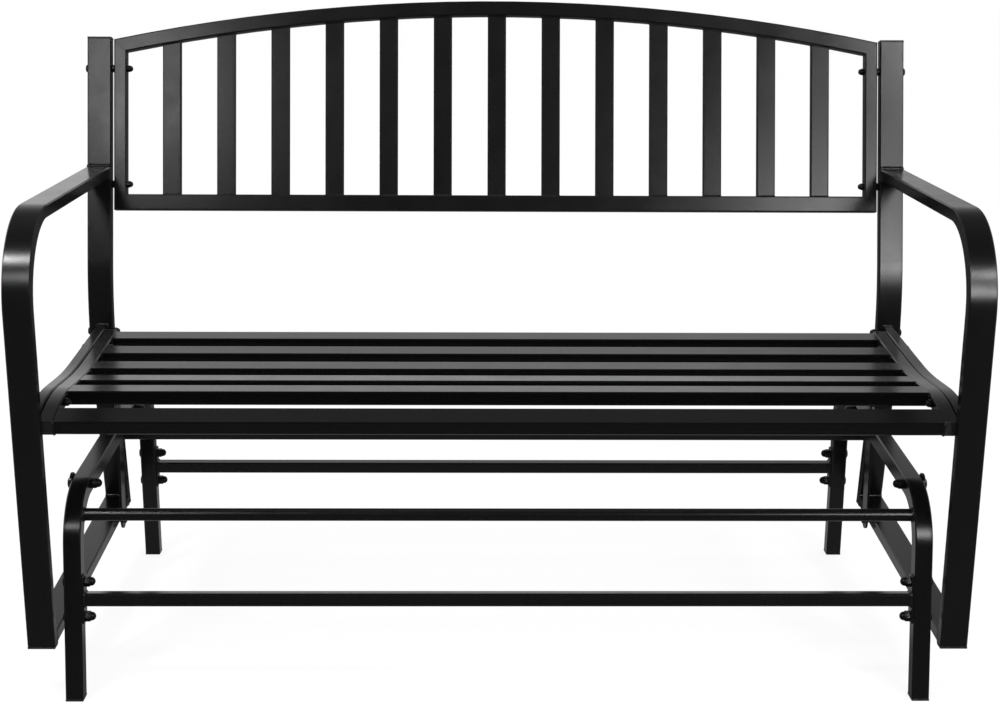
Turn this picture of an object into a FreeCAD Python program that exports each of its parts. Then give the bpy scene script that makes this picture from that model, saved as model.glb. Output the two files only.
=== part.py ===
import FreeCAD, Part
import math
import os
import re
import Sketcher

# Two-seat glider bench of welded steel tube, in millimetres.
# The bench faces -Y, +X is to the right seen from the front, +Z is up and the floor is z = 0.
# Two tube side frames joined by crossbars stand on the floor. Four flat hanger links hang from
# them on bolts and carry the seat frame, which glides to and fro and stays level.

V = FreeCAD.Vector
doc = FreeCAD.newDocument("GliderBench")

# Driving dimensions. Depths (Y) are measured from the front of the feet, heights from the floor,
# and a lean is millimetres across for each millimetre of height.
SIZES = [
    ("midDepth", 307.5, "from the front of the feet to the middle of the bench's depth"),
    ("wall", 1.0, "tube wall"),
    ("corner", 1.8, "flat on the outer corners of the square and flat tubes"),
    ("weldGap", 0.3, "gap left at a coped or curved weld face"),
    ("fit", 0.05, "radial clearance of a shaft in a bush or a nut"),
    ("holeFit", 0.2, "radial clearance of a bolt in its hole"),
    ("sideGap", 0.2, "play on each side of a bush"),
    ("plugLip", 3.0, "thickness of a plug outside its tube"),
    ("plugDepth", 15.0, "length of a plug inside its tube"),
    ("plugFit", 0.1, "clearance around a plug in its tube"),
    # base
    ("baseTube", 24.0, "square tube of the base side frames"),
    ("frontFoot", 21.1, "depth of the front leg's centreline at the floor"),
    ("frontLean", 0.125, "backward lean of the front leg"),
    ("rearFoot", 632.0, "depth of the rear leg's centreline at the floor"),
    ("rearLean", 0.072, "forward lean of the rear leg"),
    ("railHeight", 274.5, "height of the base rail's centreline at the front pivot"),
    ("railRise", 0.06, "rise of the base rail and the lower rail towards the back"),
    ("baseBend", 75.0, "centreline radius of the base bends"),
    ("barTube", 18.0, "square tube of the crossbars"),
    ("frontBarHeight", 137.0, "height of the front crossbar's centre"),
    ("rearBarHeight", 155.0, "height of the rear crossbar's centre"),
    ("plateThick", 3.0, "end plate of a crossbar"),
    ("plateWide", 20.0, "width of an end plate"),
    ("plateLong", 66.0, "length of an end plate"),
    ("plateReach", 24.0, "from a crossbar's centre to each of its bolts, along the leg"),
    ("roundTube", 17.2, "diameter of the upper cross tube"),
    ("roundDepth", 65.0, "depth of the upper cross tube's centre"),
    ("roundHeight", 248.0, "height of the upper cross tube's centre"),
    # hanger links and their pivots
    ("frontPivot", 125.0, "depth of the front pivots"),
    ("rearPivot", 462.0, "depth of the rear pivots"),
    ("linkLong", 180.0, "between the two pivots of a link"),
    ("linkWide", 30.0, "width of a link"),
    ("linkThick", 3.5, "thickness of a link"),
    ("linkRoom", 10.0, "room for a link between the base side frame and the seat frame"),
    ("bushOuter", 6.0, "outer radius of a bush"),
    ("bushProud", 1.0, "how far a bush stands out of its link on each side"),
    # fasteners
    ("boltRadius", 4.0, "shank radius of a pivot or base bolt"),
    ("headRadius", 7.5, "head radius of a pivot or base bolt"),
    ("headTall", 3.1, "head height of a pivot or base bolt"),
    ("nutAcross", 13.0, "across the flats of its cap nut"),
    ("nutTall", 14.0, "height of its cap nut"),
    ("nutHex", 7.0, "height of the hexagon of its cap nut"),
    ("smallBolt", 3.0, "shank radius of a seat or back bolt"),
    ("smallHead", 6.0, "head radius of a seat or back bolt"),
    ("smallHeadTall", 3.6, "head height of a seat or back bolt"),
    ("smallNutAcross", 10.0, "across the flats of its cap nut"),
    ("smallNutTall", 9.0, "height of its cap nut"),
    ("smallNutHex", 4.5, "height of the hexagon of its cap nut"),
    # arms, posts and lower rails: one flat tube
    ("armSide", 616.5, "middle of the bench to the middle of an arm"),
    ("armWide", 37.0, "width of the arm and post tube, across the bench"),
    ("armThick", 18.0, "thickness of the arm and post tube"),
    ("armTop", 668.5, "height of the armrest's top"),
    ("armBend", 109.0, "centreline radius of the bend in front of the hand"),
    ("legFoot", 22.2, "depth at which the arm's leg would meet the floor"),
    ("legLean", -0.077, "forward lean of the arm's leg"),
    ("legDrop", 18.0, "from the lower rail's centreline at its front pivot down to the end of the arm's leg"),
    ("backDepth", 520.0, "depth of the post's front face at the mark above the arm"),
    ("backMark", 680.0, "height of that mark, the zero of heights along the back"),
    ("backLean", 0.2147, "backward lean of the back"),
    ("shinDepth", 487.0, "depth of the post's front face at the mark below the seat"),
    ("shinMark", 355.0, "height of that mark"),
    ("shinLean", 0.25, "backward lean of the post below the seat, going down"),
    ("postBend", 400.0, "centreline radius of the post's bend at the seat"),
    ("postLong", 184.0, "length of the post above the mark, along the back"),
    ("postRise", 16.5, "from the same height up to the lower end of the post"),
    # seat
    ("railWide", 16.0, "width of the outer seat rails' tube"),
    ("sideRailWide", 20.0, "width of the seat side rails' tube"),
    ("railTall", 18.0, "height of the seat rails' tube"),
    ("outerInset", 2.5, "from the middle of an arm in to the middle of an outer seat rail"),
    ("railGap", 1.5, "washer gap between an outer seat rail and the side rail beside it"),
    ("railBeyond", 7.0, "how far a seat side rail runs past the rearmost slat"),
    ("rearTopDepth", 482.0, "depth of the seat line's rear end"),
    ("rearTopHeight", 426.5, "height of the seat line's rear end"),
    ("dipDepth", 230.0, "depth of the seat line's dip"),
    ("dipHeight", 408.0, "height of the seat line's dip"),
    ("crestDepth", 78.0, "depth of the seat line's crest behind the knees"),
    ("crestHeight", 415.6, "height of the seat line's crest"),
    ("kneeDepth", 0.0, "depth of the seat line's front end"),
    ("kneeHeight", 394.0, "height of the seat line's front end"),
    ("dipBend", 900.0, "radius of the dip"),
    ("crestBend", 260.0, "radius of the crest"),
    ("slatWide", 40.0, "width of a seat slat, front to back"),
    ("slatThick", 19.0, "thickness of a seat slat"),
    ("slatRear", 419.0, "depth of the rearmost slat's middle"),
    ("slatPitch", 77.5, "from one seat slat to the next"),
    ("slatFront", 19.5, "depth of the front slat's middle"),
    ("stretcherTall", 20.0, "height of the rear stretcher's tube"),
    ("stretcherThick", 18.0, "thickness of the rear stretcher's tube"),
    ("stretcherHeight", 240.0, "height of the rear stretcher's centre"),
    ("frontBolt", 75.0, "depth of the front seat bolt"),
    ("rearBolt", 380.0, "depth of the rear seat bolt"),
    ("postBolt", 489.0, "depth of the bolt through the post beside the seat"),
    ("postBoltDrop", 13.6, "from the seat line's height there down to that bolt"),
    # back, in its own plane: across the bench and up along the lean from the mark
    ("backTube", 21.5, "depth of the tubes of the back's frame, front to back"),
    ("backSide", 19.0, "width of the back's side tubes"),
    ("backTop", 22.0, "height of the back's top rail"),
    ("backLow", 24.5, "height of the back's bottom rail"),
    ("backGap", 4.5, "washer gap between the post and the back's frame"),
    ("backFoot", 81.5, "from the mark down to the underside of the bottom rail"),
    ("backShoulder", 183.0, "from the mark up to the outer corner of the top rail"),
    ("backPeak", 244.6, "from the mark up to the top of the top rail at the middle"),
    ("backSlatWide", 28.5, "width of a back slat"),
    ("backSlatThick", 12.0, "thickness of a back slat"),
    ("highBolt", 138.5, "from the mark up to the upper back bolt"),
    ("lowBolt", -41.0, "from the mark to the lower back bolt"),
    ("reach", 1500.0, "long enough to cut through any tube"),
]

# Places worked out from the sizes.
PLACES = [
    ("armInner", "armSide - armWide / 2"),
    ("armOuter", "armSide + armWide / 2"),
    ("outerRail", "armSide - outerInset"),
    ("sideRail", "outerRail - railWide / 2 - railGap - sideRailWide / 2"),
    ("baseSide", "armInner - linkRoom - baseTube / 2"),
    ("linkAcross", "baseSide + baseTube / 2 + sideGap + bushProud"),
    ("linkOuter", "linkAcross + linkThick"),
    ("headAcross", "linkOuter + bushProud + sideGap"),
    ("armCentre", "armTop - armThick / 2"),
    ("lowHeight", "railHeight - linkLong"),
    ("legBottom", "lowHeight - legDrop"),
    ("postBottom", "lowHeight + postRise"),
    ("legSlant", "armThick / 2 * sqrt(1 + legLean ^ 2)"),
    ("backSlant", "armThick / 2 * sqrt(1 + backLean ^ 2)"),
    ("shinSlant", "armThick / 2 * sqrt(1 + shinLean ^ 2)"),
    # centrelines of the post: depth at the floor of its upper and of its lower run
    ("backRoot", "backDepth + backSlant - backLean * backMark"),
    ("shinRoot", "shinDepth + shinSlant + shinLean * shinMark"),
    ("kinkHeight", "(shinRoot - backRoot) / (backLean + shinLean)"),
    ("kinkDepth", "backRoot + backLean * kinkHeight"),
    ("halfTurn", "(atan(backLean) + atan(shinLean)) / 2"),
    ("halfTilt", "(atan(shinLean) - atan(backLean)) / 2"),
    ("postEyeDepth", "kinkDepth + postBend / cos(halfTurn) * cos(halfTilt)"),
    ("postEyeHeight", "kinkHeight + postBend / cos(halfTurn) * sin(halfTilt)"),
    ("postNose", "postBend + armThick / 2"),
    ("railEndHeight", "rearTopHeight - railTall / 2"),
    ("railEndDepth", "postEyeDepth - sqrt(postNose ^ 2 - (railEndHeight - postEyeHeight) ^ 2)"),
    ("railEndLean", "(railEndHeight - postEyeHeight) / sqrt(postNose ^ 2 - (railEndHeight - postEyeHeight) ^ 2)"),
    ("slatEnd", "sideRail - sideRailWide / 2"),
    ("railStart", "legFoot + legSlant + legLean * (kneeHeight - 1.1 * railTall) + weldGap"),
    ("railPast", "slatRear + slatWide / 2 + railBeyond"),
    ("backOuter", "armInner - backGap"),
    ("backInner", "backOuter - backSide"),
    ("backSlatPitch", "(2 * backInner + backSlatWide) / 14"),
    ("archRise", "backPeak - backShoulder"),
    ("archOuter", "(backOuter ^ 2 + archRise ^ 2) / (2 * archRise)"),
    ("archInner", "archOuter - backTop"),
    ("archEye", "backPeak - archOuter"),
    ("archCorner", "archEye + sqrt(archInner ^ 2 - backInner ^ 2)"),
    ("footCorner", "backLow - backFoot"),
    ("backEye", "backDepth + backSlant"),
]

sizes = doc.addObject("Spreadsheet::Sheet", "Sizes")
places = doc.addObject("Spreadsheet::Sheet", "Places")
WHERE = {}


def formula(text):
    """The text with each size's name pointing at its cell."""
    return re.sub(r"[A-Za-z]\w*", lambda word: WHERE.get(word.group(0), word.group(0)), str(text))


def value(text):
    """The number that a formula gives, in millimetres or degrees."""
    result = sizes.evalExpression(formula(text))
    return float(getattr(result, "Value", result))


for row, (name, number, note) in enumerate(SIZES, start=1):
    sizes.set("A%d" % row, name)
    sizes.set("B%d" % row, str(number))
    sizes.set("C%d" % row, note)
    sizes.setAlias("B%d" % row, name)
    WHERE[name] = "Sizes." + name
doc.recompute()
for row, (name, text) in enumerate(PLACES, start=1):
    places.set("A%d" % row, name)
    places.set("B%d" % row, "=" + formula(text))
    places.setAlias("B%d" % row, name)
    doc.recompute()
    WHERE[name] = "Places." + name

nodes = []


# Sketch helpers

def new_body(name):
    return doc.addObject("PartDesign::Body", name)


def sketch_on(body, name, role):
    """A sketch on one of the body's own origin planes."""
    sketch = body.newObject("Sketcher::SketchObject", name)
    support = next(f for f in body.Origin.OriginFeatures if f.Role == role)
    sketch.AttachmentSupport = (support, [""])
    sketch.MapMode = "FlatFace"
    return sketch


def bind(sketch, kind, refs, text):
    """A dimension of the sketch, bound to a formula."""
    index = sketch.addConstraint(Sketcher.Constraint(kind, *refs, value(text)))
    sketch.setExpression("Constraints[%d]" % index, formula(text))


def pin(sketch, geometry, end, across, up):
    """Holds one point of the sketch at two formulas."""
    bind(sketch, "DistanceX", (-1, 1, geometry, end), across)
    bind(sketch, "DistanceY", (-1, 1, geometry, end), up)


def polygon(sketch, corners, flip=1):
    """A closed outline of straight lines through the corners."""
    count = len(corners)
    points = [V(flip * value(a), value(b), 0) for a, b in corners]
    first = len(sketch.Geometry)
    for i in range(count):
        sketch.addGeometry(Part.LineSegment(points[i], points[(i + 1) % count]), False)
    for i in range(count):
        before = first + (i - 1) % count
        sketch.addConstraint(Sketcher.Constraint("Coincident", before, 2, first + i, 1))
        across = corners[i][0] if flip == 1 else "-(%s)" % corners[i][0]
        pin(sketch, first + i, 1, across, corners[i][1])


def rounded(sketch, wide, tall, radius, middle="0"):
    """A rectangle with round corners, its centre on the sketch's vertical axis."""
    x, y, r = value(wide) / 2, value(tall) / 2, value(radius)
    m = value(middle)
    first = len(sketch.Geometry)
    ends = [(-x + r, m - y, x - r, m - y), (x, m - y + r, x, m + y - r),
            (x - r, m + y, -x + r, m + y), (-x, m + y - r, -x, m - y + r)]
    for a, b, c, d in ends:
        sketch.addGeometry(Part.LineSegment(V(a, b, 0), V(c, d, 0)), False)
    centres = [(x - r, m - y + r, -90), (x - r, m + y - r, 0),
               (-x + r, m + y - r, 90), (-x + r, m - y + r, 180)]
    for a, b, start in centres:
        circle = Part.Circle(V(a, b, 0), V(0, 0, 1), r)
        arc = Part.ArcOfCircle(circle, math.radians(start), math.radians(start + 90))
        sketch.addGeometry(arc, False)
    for i in range(4):
        line, arc, after = first + i, first + 4 + i, first + (i + 1) % 4
        sketch.addConstraint(Sketcher.Constraint("Tangent", line, 2, arc, 1))
        sketch.addConstraint(Sketcher.Constraint("Tangent", arc, 2, after, 1))
        sketch.addConstraint(Sketcher.Constraint("Horizontal" if i % 2 == 0 else "Vertical", line))
        if i:
            sketch.addConstraint(Sketcher.Constraint("Equal", first + 4, arc))
    bind(sketch, "Radius", (first + 4,), radius)
    bind(sketch, "DistanceY", (-1, 1, first, 1), "%s - (%s) / 2" % (middle, tall))
    bind(sketch, "DistanceY", (-1, 1, first + 2, 1), "%s + (%s) / 2" % (middle, tall))
    bind(sketch, "DistanceX", (-1, 1, first + 1, 1), "(%s) / 2" % wide)
    bind(sketch, "DistanceX", (-1, 1, first + 3, 1), "-(%s) / 2" % wide)


def many_sided(sketch, sides, radius, across="0", up="0"):
    """A regular outline whose corners lie on a circle of the radius, with one side level."""
    x, y, size = value(across), value(up), value(radius)
    circle = sketch.addGeometry(Part.Circle(V(x, y, 0), V(0, 0, 1), size), True)
    pin(sketch, circle, 3, across, up)
    bind(sketch, "Radius", (circle,), radius)
    angles = [math.pi * (2 * i + 1) / sides - math.pi / 2 for i in range(-1, sides - 1)]
    points = [V(x + size * math.cos(a), y + size * math.sin(a), 0) for a in angles]
    first = circle + 1
    for i in range(sides):
        sketch.addGeometry(Part.LineSegment(points[i], points[(i + 1) % sides]), False)
    for i in range(sides):
        sketch.addConstraint(Sketcher.Constraint("Coincident", first + (i - 1) % sides, 2, first + i, 1))
        sketch.addConstraint(Sketcher.Constraint("PointOnObject", first + i, 1, circle))
        if i:
            sketch.addConstraint(Sketcher.Constraint("Equal", first, first + i))
    sketch.addConstraint(Sketcher.Constraint("Horizontal", first))


def around(radius, sides):
    """Corner radius of a regular outline that just clears a circle of the radius."""
    return "(%s) / %.9f" % (radius, math.cos(math.pi / sides))


def boxed(sketch, wide, tall, middle="0"):
    """A plain rectangle, its centre on the sketch's vertical axis."""
    x, y = "(%s) / 2" % wide, "(%s) / 2" % tall
    low, high = "%s - %s" % (middle, y), "%s + %s" % (middle, y)
    polygon(sketch, [("-" + x, low), (x, low), (x, high), ("-" + x, high)])


def tube_section(sketch, wide, tall, middle="0"):
    """The two outlines of a tube: corners eased outside, square bore."""
    x, y = "(%s) / 2" % wide, "(%s) / 2" % tall
    low, high = "%s - %s" % (middle, y), "%s + %s" % (middle, y)
    polygon(sketch, [("-%s + corner" % x, low), (x + " - corner", low),
                     (x, low + " + corner"), (x, high + " - corner"),
                     (x + " - corner", high), ("-%s + corner" % x, high),
                     ("-" + x, high + " - corner"), ("-" + x, low + " + corner")])
    boxed(sketch, "%s - 2 * wall" % wide, "%s - 2 * wall" % tall, middle)


def run_path(sketch, corners, radii):
    """Straight runs through the corner points, joined by tangent arcs of the radii."""
    points = [V(value(a), value(b), 0) for a, b in corners]
    last = len(points) - 1
    lines, arcs = [], []
    start = points[0]
    for i, radius in zip(range(1, last), radii):
        back = (points[i - 1] - points[i]).normalize()
        ahead = (points[i + 1] - points[i]).normalize()
        half = back.getAngle(ahead) / 2
        size = value(radius)
        one, two = points[i] + back * (size / math.tan(half)), points[i] + ahead * (size / math.tan(half))
        centre = points[i] + (back + ahead).normalize() * (size / math.sin(half))
        middle = centre + (points[i] - centre).normalize() * size
        lines.append(sketch.addGeometry(Part.LineSegment(start, one), False))
        arcs.append((sketch.addGeometry(Part.Arc(one, middle, two), False), one, two))
        start = two
    lines.append(sketch.addGeometry(Part.LineSegment(start, points[last]), False))
    pin(sketch, lines[0], 1, *corners[0])
    pin(sketch, lines[-1], 2, *corners[last])
    for i, (arc, one, two) in enumerate(arcs):
        begin = 1 if (sketch.getPoint(arc, 1) - one).Length < 1e-3 else 2
        sketch.addConstraint(Sketcher.Constraint("Tangent", lines[i], 2, arc, begin))
        sketch.addConstraint(Sketcher.Constraint("Tangent", arc, 3 - begin, lines[i + 1], 1))
        bind(sketch, "Radius", (arc,), radii[i])
        mark = sketch.addGeometry(Part.Point(points[i + 1]), True)
        pin(sketch, mark, 1, *corners[i + 1])
        sketch.addConstraint(Sketcher.Constraint("PointOnObject", mark, 1, lines[i]))
        sketch.addConstraint(Sketcher.Constraint("PointOnObject", mark, 1, lines[i + 1]))


# Feature helpers

def stand(body, across=0.0, depth=0.0, height=0.0, lean=0.0):
    """Places a body, tipped back by its lean, and moves the depths to the bench's middle."""
    turn = FreeCAD.Rotation(V(1, 0, 0), -math.degrees(math.atan(lean)))
    body.Placement = FreeCAD.Placement(V(across, depth - value("midDepth"), height), turn)


def keep(item, name):
    """Names one finished piece of the bench."""
    item.Label = name
    nodes.append((name, item))
    return item


def cut(body, name, role, corners, flip=1):
    """Saws away what lies inside the outline, right through the body."""
    sketch = sketch_on(body, name + "_line", role)
    polygon(sketch, corners, flip)
    pocket = body.newObject("PartDesign::Pocket", name)
    pocket.Profile = sketch
    pocket.Type = "ThroughAll"
    pocket.SideType = "Symmetric"
    return pocket


def drill(body, name, role, spots, radius):
    """Drills straight through the body at each spot."""
    sketch = sketch_on(body, name + "_spots", role)
    for across, up in spots:
        many_sided(sketch, 8, around(radius, 8), across, up)
    pocket = body.newObject("PartDesign::Pocket", name)
    pocket.Profile = sketch
    pocket.Type = "ThroughAll"
    pocket.SideType = "Symmetric"


def bent_tube(body, name, corners, radii, wide, thick):
    """A tube swept along a side view path of straight runs and bends."""
    path = sketch_on(body, name + "_path", "YZ_Plane")
    run_path(path, corners, radii)
    section = sketch_on(body, name + "_section", "XY_Plane")
    across = "(%s) - (%s)" % (corners[1][0], corners[0][0])
    up = "(%s) - (%s)" % (corners[1][1], corners[0][1])
    turn = "-atan2(%s; %s)" % (across, up)
    base = V(0, value(corners[0][0]), value(corners[0][1]))
    section.AttachmentOffset = FreeCAD.Placement(base, FreeCAD.Rotation(V(1, 0, 0), value(turn)))
    section.setExpression("AttachmentOffset.Base.y", formula(corners[0][0]))
    section.setExpression("AttachmentOffset.Base.z", formula(corners[0][1]))
    section.setExpression("AttachmentOffset.Rotation.Angle", formula(turn))
    tube_section(section, wide, thick)
    pipe = body.newObject("PartDesign::AdditivePipe", name)
    pipe.Profile = section
    pipe.Spine = path


def cross_tube(body, name, half, deep, tall):
    """A straight tube across the bench, as long on either side of its middle as half."""
    section = sketch_on(body, name + "_section", "YZ_Plane")
    tube_section(section, deep, tall)
    pad = body.newObject("PartDesign::Pad", name)
    pad.Profile = section
    pad.SideType = "Symmetric"
    pad.setExpression("Length", formula("2 * (%s)" % half))


def group(name, spots):
    """Identical pieces as one named group: each spot is a body, its place and its lean."""
    links = []
    for index, (body, across, depth, height, flip) in enumerate(spots):
        link = doc.addObject("App::Link", "%s_%d" % (name, index + 1))
        link.LinkedObject = body
        turn = FreeCAD.Rotation(V(0, 0, 1), 180 if flip < 0 else 0)
        link.Placement = FreeCAD.Placement(V(across, depth - value("midDepth"), height), turn)
        links.append(link)
    whole = doc.addObject("Part::Compound", name)
    whole.Links = links
    return keep(whole, name)


SIDES = (("left", -1), ("right", 1))

# Base side frames: one bent square tube each, open at the feet for plugs.

FRONT_LEG = ("frontFoot - 40 * frontLean", "-40")
REAR_LEG = ("rearFoot + 40 * rearLean", "-40")
RAIL_AT_ZERO = "(railHeight - railRise * frontPivot)"
FRONT_KNEE_DEPTH = "((frontFoot + frontLean * %s) / (1 - frontLean * railRise))" % RAIL_AT_ZERO
REAR_KNEE_DEPTH = "((rearFoot - rearLean * %s) / (1 + rearLean * railRise))" % RAIL_AT_ZERO
FRONT_KNEE = (FRONT_KNEE_DEPTH, "%s + railRise * %s" % (RAIL_AT_ZERO, FRONT_KNEE_DEPTH))
REAR_KNEE = (REAR_KNEE_DEPTH, "%s + railRise * %s" % (RAIL_AT_ZERO, REAR_KNEE_DEPTH))


def front_leg(height):
    return "frontFoot + frontLean * (%s)" % height


def rear_leg(height):
    return "rearFoot - rearLean * (%s)" % height


def rail(depth):
    return "railHeight + railRise * ((%s) - frontPivot)" % depth


def bar_spots():
    """Depth, height and lean of each crossbar's centre."""
    return (("front", front_leg("frontBarHeight"), "frontBarHeight", "frontLean"),
            ("rear", rear_leg("rearBarHeight"), "rearBarHeight", "-rearLean"))


def plate_bolts(depth, height, lean):
    """The two bolts of a crossbar's end plate, above and below the bar along the leg."""
    step = "plateReach / sqrt(1 + (%s) ^ 2)" % lean
    return [("%s + %s * %s * (%s)" % (depth, sign, step, lean), "%s + %s * %s" % (height, sign, step))
            for sign in (1, -1)]


for side, sign in SIDES:
    frame = new_body("base_side_frame_" + side)
    bent_tube(frame, "bow_" + side, [FRONT_LEG, FRONT_KNEE, REAR_KNEE, REAR_LEG],
              ["baseBend", "baseBend"], "baseTube", "baseTube")
    cut(frame, "feet_" + side, "YZ_Plane",
        [("-reach", "-reach"), ("reach", "-reach"), ("reach", "plugLip"), ("-reach", "plugLip")])
    holes = [("frontPivot", rail("frontPivot")), ("rearPivot", rail("rearPivot"))]
    for where, depth, height, lean in bar_spots():
        holes += plate_bolts(depth, height, lean)
    drill(frame, "holes_" + side, "YZ_Plane", holes, "boltRadius + holeFit")
    stand(frame, across=sign * value("baseSide"))
    keep(frame, "base_side_frame_" + side)

# Crossbars with a welded plate at each end, bolted to the inner faces of the legs.

bar_half = "baseSide - baseTube / 2 - plateThick"
for where, depth, height, lean in bar_spots():
    bar = new_body(where + "_crossbar")
    cross_tube(bar, where + "_bar", bar_half, "barTube", "barTube")
    stand(bar, depth=value(depth), height=value(height), lean=value(lean))
    keep(bar, where + "_crossbar")

plates = []
for where, depth, height, lean in bar_spots():
    for side, sign in SIDES:
        plate = new_body("plate_%s_%s" % (where, side))
        face = sketch_on(plate, "plate_face_%s_%s" % (where, side), "YZ_Plane")
        boxed(face, "plateWide", "plateLong")
        for spot in ("plateReach", "-plateReach"):
            many_sided(face, 8, around("boltRadius + holeFit", 8), "0", spot)
        pad = plate.newObject("PartDesign::Pad", "plate_pad_%s_%s" % (where, side))
        pad.Profile = face
        pad.SideType = "Symmetric"
        pad.setExpression("Length", formula("plateThick"))
        across = sign * value("baseSide - baseTube / 2 - plateThick / 2")
        stand(plate, across, value(depth), value(height), value(lean))
        plates.append(plate)
plate_group = doc.addObject("Part::Compound", "crossbar_end_plates")
plate_group.Links = plates
keep(plate_group, "crossbar_end_plates")

# Upper cross tube, round, welded between the front bends.

round_tube = new_body("upper_cross_tube")
ring = sketch_on(round_tube, "round_section", "YZ_Plane")
for radius in ("roundTube / 2", "roundTube / 2 - wall"):
    index = ring.addGeometry(Part.Circle(V(0, 0, 0), V(0, 0, 1), value(radius)), False)
    ring.addConstraint(Sketcher.Constraint("Coincident", index, 3, -1, 1))
    bind(ring, "Radius", (index,), radius)
round_pad = round_tube.newObject("PartDesign::Pad", "round_pad")
round_pad.Profile = ring
round_pad.SideType = "Symmetric"
round_pad.setExpression("Length", formula("2 * (baseSide - baseTube / 2)"))
stand(round_tube, depth=value("roundDepth"), height=value("roundHeight"))
keep(round_tube, "upper_cross_tube")


# Plugs: a lip as wide as the tube and a stem inside it, both along the tube's lean.

def plug(name, wide, thick, lean, flat_lean, lip="plugLip", up=1):
    """A plug for a tube that leans by lean and is sawn level (flat_lean of lean) or square."""
    body = new_body(name)
    stretch = "sqrt(1 + (%s) ^ 2)" % flat_lean
    parts = (("lip", "0", lip, "0"), ("stem", lip, "plugDepth", "wall + plugFit"))
    for piece, start, tall, inset in parts:
        sketch = sketch_on(body, "%s_%s_outline" % (name, piece), "XY_Plane")
        level = "%d * (%s)" % (up, start)
        base = V(0, value(level) * value(flat_lean), value(level))
        sketch.AttachmentOffset = FreeCAD.Placement(base, FreeCAD.Rotation())
        sketch.setExpression("AttachmentOffset.Base.z", formula(level))
        sketch.setExpression("AttachmentOffset.Base.y", formula("(%s) * (%s)" % (level, flat_lean)))
        boxed(sketch, "(%s - 2 * (%s))" % (wide, inset), "((%s - 2 * (%s)) * %s)" % (thick, inset, stretch))
        pad = body.newObject("PartDesign::Pad", "%s_%s" % (name, piece))
        pad.Profile = sketch
        pad.UseCustomVector = True
        pad.Direction = V(0, up * value(flat_lean), up)
        pad.AlongSketchNormal = True
        pad.setExpression("Length", formula(tall))
    return body


foot_plugs = []
for where, depth, lean in (("front", "frontFoot", "frontLean"), ("rear", "rearFoot", "-rearLean")):
    for side, sign in SIDES:
        foot = plug("foot_%s_%s" % (where, side), "baseTube", "baseTube", lean, lean)
        stand(foot, sign * value("baseSide"), value(depth))
        foot_plugs.append(foot)
foot_group = doc.addObject("Part::Compound", "base_foot_plugs")
foot_group.Links = foot_plugs
keep(foot_group, "base_foot_plugs")


# Bolts and cap nuts. Each is drawn along +X, the bolt from under its head and the nut from its seat.

def prism(body, name, sides, radius, start, end, narrow=None):
    """A many-sided piece of the body between two places along X, narrowing to another radius."""
    sketch = sketch_on(body, name + "_outline", "YZ_Plane")
    sketch.AttachmentOffset = FreeCAD.Placement(V(0, 0, value(start)), FreeCAD.Rotation())
    sketch.setExpression("AttachmentOffset.Base.z", formula(start))
    many_sided(sketch, sides, radius)
    if narrow is None:
        pad = body.newObject("PartDesign::Pad", name)
        pad.Profile = sketch
        pad.Reversed = value(end) < value(start)
        pad.setExpression("Length", formula("abs((%s) - (%s))" % (end, start)))
        return
    tip = sketch_on(body, name + "_tip", "YZ_Plane")
    tip.AttachmentOffset = FreeCAD.Placement(V(0, 0, value(end)), FreeCAD.Rotation())
    tip.setExpression("AttachmentOffset.Base.z", formula(end))
    many_sided(tip, sides, narrow)
    loft = body.newObject("PartDesign::AdditiveLoft", name)
    loft.Profile = sketch
    loft.Sections = [tip]
    loft.Ruled = True


def bored(body, name, start, end, radius, sides=8):
    """A bore along X, round or many-sided, between two places."""
    sketch = sketch_on(body, name + "_outline", "YZ_Plane")
    sketch.AttachmentOffset = FreeCAD.Placement(V(0, 0, value(start)), FreeCAD.Rotation())
    sketch.setExpression("AttachmentOffset.Base.z", formula(start))
    if sides:
        many_sided(sketch, sides, around(radius, sides))
    else:
        index = sketch.addGeometry(Part.Circle(V(0, 0, 0), V(0, 0, 1), value(radius)), False)
        sketch.addConstraint(Sketcher.Constraint("Coincident", index, 3, -1, 1))
        bind(sketch, "Radius", (index,), radius)
    pocket = body.newObject("PartDesign::Pocket", name)
    pocket.Profile = sketch
    pocket.Reversed = value(end) > value(start)
    pocket.setExpression("Length", formula("abs((%s) - (%s))" % (end, start)))


def button_bolt(name, radius, rim, tall, long, pivot=False):
    """A low button-head bolt: the head towards +X, the shank towards -X, round where it is a pivot."""
    body = new_body(name)
    if pivot:
        sketch = sketch_on(body, name + "_shank_circle", "YZ_Plane")
        index = sketch.addGeometry(Part.Circle(V(0, 0, 0), V(0, 0, 1), value(radius)), False)
        sketch.addConstraint(Sketcher.Constraint("Coincident", index, 3, -1, 1))
        bind(sketch, "Radius", (index,), radius)
        pad = body.newObject("PartDesign::Pad", name + "_shank")
        pad.Profile = sketch
        pad.Reversed = True
        pad.setExpression("Length", formula(long))
    else:
        prism(body, name + "_shank", 8, radius, "0", "-(%s)" % long)
    prism(body, name + "_rim", 12, rim, "0", "(%s) * 0.4" % tall)
    prism(body, name + "_crown", 12, rim, "(%s) * 0.4" % tall, tall, "(%s) * 0.65" % rim)
    return body


def cap_nut(name, across, hexagon, tall, bore):
    """A cap nut on -X: hexagon against its seat, then a cap, with a blind bore."""
    body = new_body(name)
    prism(body, name + "_hexagon", 6, around("(%s) / 2" % across, 6), "0", "-(%s)" % hexagon)
    wide = "((%s) / 2 - 0.5)" % across
    prism(body, name + "_cap", 12, wide, "-(%s)" % hexagon, "-(%s)" % tall, wide + " * 0.5")
    bored(body, name + "_bore", "0", "3 - (%s)" % tall, bore)
    return body


def ring_piece(name, inner, outer, long):
    """A plain ring or sleeve, from its seat towards +X."""
    body = new_body(name)
    prism(body, name + "_sleeve", 12, outer, "0", long)
    bored(body, name + "_bore", "0", long, inner)
    return body


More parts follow.
